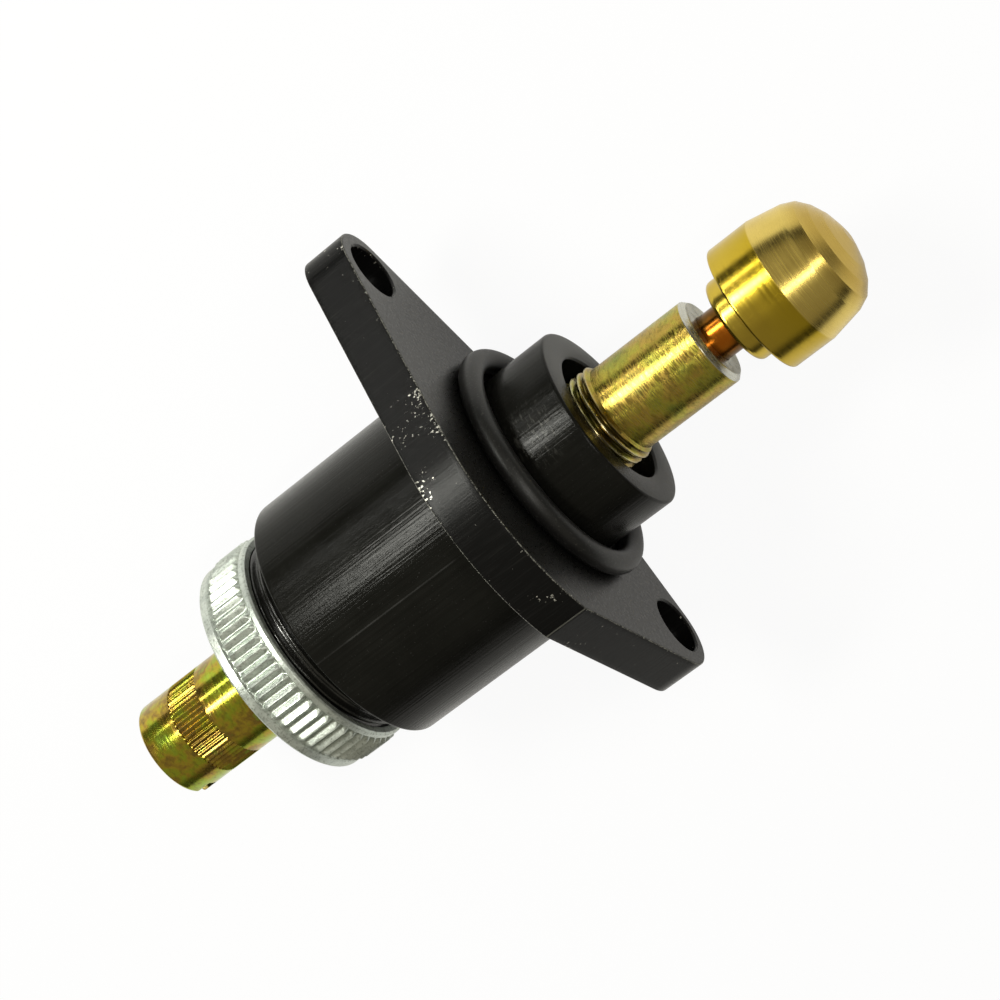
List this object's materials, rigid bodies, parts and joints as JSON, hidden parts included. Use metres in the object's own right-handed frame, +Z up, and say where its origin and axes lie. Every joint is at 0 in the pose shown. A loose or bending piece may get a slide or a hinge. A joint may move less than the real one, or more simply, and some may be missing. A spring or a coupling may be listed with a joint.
{
  "type": "idle air control valve",
  "caption": "Hand-set idle air valve: black flanged body with O-ring spigot, brass pintle on a threaded spindle, knurled lock nut and slotted knob to set the air gap.",
  "frame": {"origin": "on the valve's axis, at the flange's front mounting face", "axes": "+X along the valve's axis towards the pintle, +Y along the row of bolt holes towards the long ear, +Z up"},
  "size_m": [0.0763, 0.0477, 0.0289],
  "materials": {
    "valve_body": "black anodised, satin",
    "flange_seal": "satin black",
    "spindle": "yellow zinc plating",
    "spindle_seal": "satin black",
    "valve_pintle": "turned, bright",
    "lock_nut": "white zinc plating",
    "lock_bush": "natural nylon",
    "thrust_washer": "zinc plating"
  },
  "bodies": {
    "valve": {"valve_body": "valve_body", "flange_seal": "flange_seal", "lock_bush": "lock_bush"},
    "seal_ring": {"spindle_seal": "spindle_seal"},
    "spindle": {"spindle": "spindle", "valve_pintle": "valve_pintle"},
    "washer": {"thrust_washer": "thrust_washer"},
    "nut": {"lock_nut": "lock_nut"}
  },
  "joints": [
    {"name": "spindle_travel", "type": "slide", "parent": "valve", "child": "seal_ring", "axis": [1, 0, 0], "range_m": [-0.00525, 0.0045]},
    {"name": "spindle_turn", "type": "hinge", "parent": "seal_ring", "child": "spindle", "pos_m": [0, 0, 0], "axis": [1, 0, 0], "range_deg": [-2525, 2165]},
    {"name": "nut_travel", "type": "slide", "parent": "valve", "child": "washer", "axis": [1, 0, 0], "range_m": [-0.002, 0]},
    {"name": "nut_turn", "type": "hinge", "parent": "washer", "child": "nut", "pos_m": [0, 0, 0], "axis": [1, 0, 0], "range_deg": [-725, 0]}
  ],
  "couplings": [
    {"joint": "spindle_turn", "follows": "spindle_travel", "rad_per_m": 8377.6},
    {"joint": "nut_turn", "follows": "nut_travel", "rad_per_m": 6283.2}
  ]
}
